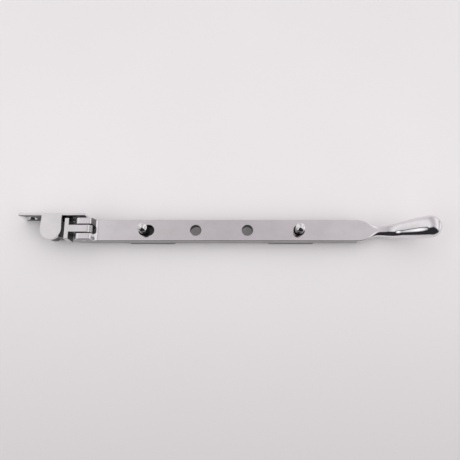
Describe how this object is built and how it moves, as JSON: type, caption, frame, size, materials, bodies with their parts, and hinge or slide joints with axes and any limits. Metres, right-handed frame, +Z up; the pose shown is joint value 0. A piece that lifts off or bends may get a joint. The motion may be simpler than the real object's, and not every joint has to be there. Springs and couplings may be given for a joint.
{
  "type": "casement window stay",
  "caption": "Polished peg stay for a casement window: bulb-handled flat bar hinged to a swivelling knuckle on a screw-on bracket, resting over two pegs on short plates.",
  "frame": {"origin": "centre of the base, on the surface that the stay and its peg plates lie on", "axes": "+X along the closed bar towards the bulb handle, +Y towards the bracket's fixing face, +Z up along the pegs"},
  "size_m": [0.2737, 0.0182, 0.0253],
  "materials": {
    "bracket_chrome": "polished chrome plate on cast brass",
    "link_chrome": "polished chrome plate on cast brass",
    "bar_chrome": "polished chrome plate on a forged brass bar, with faint lengthwise polishing lines",
    "plate_chrome": "chrome plate on flat brass strip",
    "peg_chrome": "polished chrome plate on turned brass",
    "pin_chrome": "chrome plate on steel pin, ends dressed flush"
  },
  "bodies": {
    "bracket": {"swivel_bracket": "bracket_chrome", "swivel_pin": "pin_chrome"},
    "link": {"swivel_link": "link_chrome"},
    "bar": {"stay_bar": "bar_chrome", "hinge_pin": "pin_chrome"},
    "near_rest": {"near_plate": "plate_chrome", "near_peg": "peg_chrome"},
    "far_rest": {"far_plate": "plate_chrome", "far_peg": "peg_chrome"}
  },
  "joints": [
    {"name": "swivel", "type": "hinge", "parent": "bracket", "child": "link", "pos_m": [-0.115, -0.00175, 0.0066], "axis": [0, 0, 1], "range_deg": [-180, 0]},
    {"name": "lift", "type": "hinge", "parent": "link", "child": "bar", "pos_m": [-0.094, -0.00175, 0.0087], "axis": [0, -1, 0], "range_deg": [0, 90]},
    {"name": "near_release", "type": "slide", "parent": "bar", "child": "near_rest", "axis": [0, 0, -1], "range_m": [0, 0.018]},
    {"name": "far_release", "type": "slide", "parent": "bar", "child": "far_rest", "axis": [0, 0, -1], "range_m": [0, 0.018]}
  ]
}
